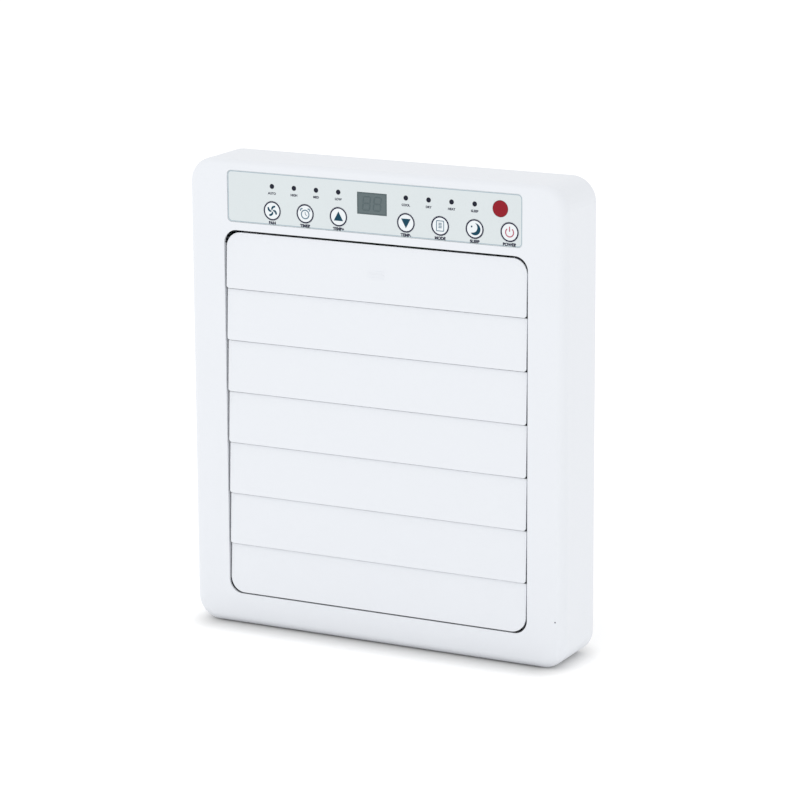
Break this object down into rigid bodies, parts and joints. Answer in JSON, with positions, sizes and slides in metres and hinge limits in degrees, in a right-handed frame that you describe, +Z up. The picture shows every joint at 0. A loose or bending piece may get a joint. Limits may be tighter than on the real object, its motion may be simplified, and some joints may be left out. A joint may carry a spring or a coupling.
{
  "type": "window air conditioner",
  "caption": "Slim upright window air conditioner with a tilting louvre door, membrane control panel, coils, blower, outdoor fan and compressor in one flat casing.",
  "frame": {"origin": "middle of the casing's underside", "axes": "+X to the right seen from the front, +Y towards the back, +Z up"},
  "size_m": [0.433, 0.072, 0.5],
  "materials": {
    "casing_white": "fine moulded texture",
    "louvre_white": "fine moulded texture",
    "door_dark": "dark moulded",
    "galvanised": "powder-coated sheet",
    "inner_plastic": "moulded",
    "screw_steel": "plain",
    "filter_plastic": "moulded",
    "filter_net": "woven net",
    "overlay": "satin film",
    "key_film": "satin film",
    "lamp_lens": "dark lens",
    "lamp_epoxy": "clear epoxy",
    "display_window": "smoked",
    "display_black": "black",
    "receiver_red": "deep red",
    "board_green": "solder mask",
    "aluminium_fin": "mill",
    "copper": "drawn tube",
    "motor_steel": "plated",
    "rubber": "moulded",
    "compressor_paint": "baked enamel",
    "fan_plastic": "moulded"
  },
  "bodies": {
    "housing": {"front_casing": "casing_white", "rear_panel": "galvanised", "screws": "screw_steel", "base_pan": "galvanised", "front_bulkhead": "galvanised", "middle_shelf": "galvanised", "top_shelf": "galvanised", "latch_body": "door_dark", "latch_spring": "screw_steel", "control_panel": "overlay", "lamp_lenses": "lamp_lens", "board_parts": "lamp_epoxy", "display_lens": "display_window", "display_module": "display_black", "receiver_lens": "receiver_red", "control_board": "board_green", "evaporator_fins": "aluminium_fin", "evaporator_tubes": "copper", "left_bracket": "galvanised", "right_bracket": "galvanised", "drain_tray": "inner_plastic", "scroll_housing": "inner_plastic", "air_tongue": "inner_plastic", "blower_bearing": "rubber", "blower_motor": "motor_steel", "condenser_fins": "aluminium_fin", "condenser_tubes": "copper", "fan_shroud": "galvanised", "fan_motor": "motor_steel", "compressor": "compressor_paint", "compressor_grommets": "rubber", "accumulator": "compressor_paint", "suction_pipe": "copper", "discharge_pipe": "copper", "expansion_line": "copper", "drain_spout": "inner_plastic", "power_board": "board_green", "power_inlet": "display_black"},
    "door": {"door_frame": "door_dark", "louvre_motor": "screw_steel", "filter_frame": "filter_plastic", "filter_mesh": "filter_net"},
    "louvre_1": {"louvre_1": "louvre_white"},
    "louvre_2": {"louvre_2": "louvre_white"},
    "louvre_3": {"louvre_3": "louvre_white"},
    "louvre_4": {"louvre_4": "louvre_white"},
    "louvre_5": {"louvre_5": "louvre_white"},
    "louvre_6": {"louvre_6": "louvre_white"},
    "louvre_7": {"louvre_7": "louvre_white"},
    "tie_bar": {"tie_bar": "door_dark"},
    "latch_plunger": {"latch_plunger": "door_dark"},
    "blower_wheel": {"blower_wheel": "inner_plastic"},
    "condenser_fan": {"condenser_fan": "fan_plastic"},
    "key_fan": {"key_fan": "key_film"},
    "key_timer": {"key_timer": "key_film"},
    "key_temp_up": {"key_temp_up": "key_film"},
    "key_temp_down": {"key_temp_down": "key_film"},
    "key_mode": {"key_mode": "key_film"},
    "key_sleep": {"key_sleep": "key_film"},
    "key_power": {"key_power": "key_film"}
  },
  "joints": [
    {"name": "door_hinge", "type": "hinge", "parent": "housing", "child": "door", "pos_m": [0, -0.031, 0.046], "axis": [1, 0, 0], "range_deg": [0, 70]},
    {"name": "louvre_1_tilt", "type": "hinge", "parent": "door", "child": "louvre_1", "pos_m": [0, -0.023, 0.4202], "axis": [-1, 0, 0], "range_deg": [0, 28]},
    {"name": "louvre_2_tilt", "type": "hinge", "parent": "door", "child": "louvre_2", "pos_m": [0, -0.023, 0.3647], "axis": [-1, 0, 0], "range_deg": [0, 28]},
    {"name": "louvre_3_tilt", "type": "hinge", "parent": "door", "child": "louvre_3", "pos_m": [0, -0.023, 0.30946], "axis": [-1, 0, 0], "range_deg": [0, 28]},
    {"name": "louvre_4_tilt", "type": "hinge", "parent": "door", "child": "louvre_4", "pos_m": [0, -0.023, 0.25422], "axis": [-1, 0, 0], "range_deg": [0, 28]},
    {"name": "louvre_5_tilt", "type": "hinge", "parent": "door", "child": "louvre_5", "pos_m": [0, -0.023, 0.19898], "axis": [-1, 0, 0], "range_deg": [0, 28]},
    {"name": "louvre_6_tilt", "type": "hinge", "parent": "door", "child": "louvre_6", "pos_m": [0, -0.023, 0.14374], "axis": [-1, 0, 0], "range_deg": [0, 28]},
    {"name": "louvre_7_tilt", "type": "hinge", "parent": "door", "child": "louvre_7", "pos_m": [0, -0.023, 0.0885], "axis": [-1, 0, 0], "range_deg": [0, 28]},
    {"name": "tie_bar_pivot", "type": "hinge", "parent": "louvre_1", "child": "tie_bar", "pos_m": [0, -0.015, 0.4202], "axis": [-1, 0, 0], "range_deg": [-28, 0]},
    {"name": "latch_push", "type": "slide", "parent": "housing", "child": "latch_plunger", "axis": [0, 1, 0], "range_m": [0, 0.0025], "stiffness_N_per_m": 400, "springref_m": -0.002},
    {"name": "key_fan_press", "type": "slide", "parent": "housing", "child": "key_fan", "axis": [0, 1, 0], "range_m": [0, 0.0005], "stiffness_N_per_m": 600, "springref_m": -0.0003},
    {"name": "key_timer_press", "type": "slide", "parent": "housing", "child": "key_timer", "axis": [0, 1, 0], "range_m": [0, 0.0005], "stiffness_N_per_m": 600, "springref_m": -0.0003},
    {"name": "key_temp_up_press", "type": "slide", "parent": "housing", "child": "key_temp_up", "axis": [0, 1, 0], "range_m": [0, 0.0005], "stiffness_N_per_m": 600, "springref_m": -0.0003},
    {"name": "key_temp_down_press", "type": "slide", "parent": "housing", "child": "key_temp_down", "axis": [0, 1, 0], "range_m": [0, 0.0005], "stiffness_N_per_m": 600, "springref_m": -0.0003},
    {"name": "key_mode_press", "type": "slide", "parent": "housing", "child": "key_mode", "axis": [0, 1, 0], "range_m": [0, 0.0005], "stiffness_N_per_m": 600, "springref_m": -0.0003},
    {"name": "key_sleep_press", "type": "slide", "parent": "housing", "child": "key_sleep", "axis": [0, 1, 0], "range_m": [0, 0.0005], "stiffness_N_per_m": 600, "springref_m": -0.0003},
    {"name": "key_power_press", "type": "slide", "parent": "housing", "child": "key_power", "axis": [0, 1, 0], "range_m": [0, 0.0005], "stiffness_N_per_m": 600, "springref_m": -0.0003},
    {"name": "blower_spin", "type": "hinge", "parent": "housing", "child": "blower_wheel", "pos_m": [0, 0.01265, 0.17385], "axis": [1, 0, 0], "continuous": true},
    {"name": "condenser_fan_spin", "type": "hinge", "parent": "housing", "child": "condenser_fan", "pos_m": [-0.057, 0, 0.07635], "axis": [0, 1, 0], "continuous": true}
  ],
  "couplings": [
    {"joint": "louvre_2_tilt", "follows": "louvre_1_tilt", "ratio": 1},
    {"joint": "louvre_3_tilt", "follows": "louvre_1_tilt", "ratio": 1},
    {"joint": "louvre_4_tilt", "follows": "louvre_1_tilt", "ratio": 1},
    {"joint": "louvre_5_tilt", "follows": "louvre_1_tilt", "ratio": 1},
    {"joint": "louvre_6_tilt", "follows": "louvre_1_tilt", "ratio": 1},
    {"joint": "louvre_7_tilt", "follows": "louvre_1_tilt", "ratio": 1},
    {"joint": "tie_bar_pivot", "follows": "louvre_1_tilt", "ratio": -1}
  ]
}
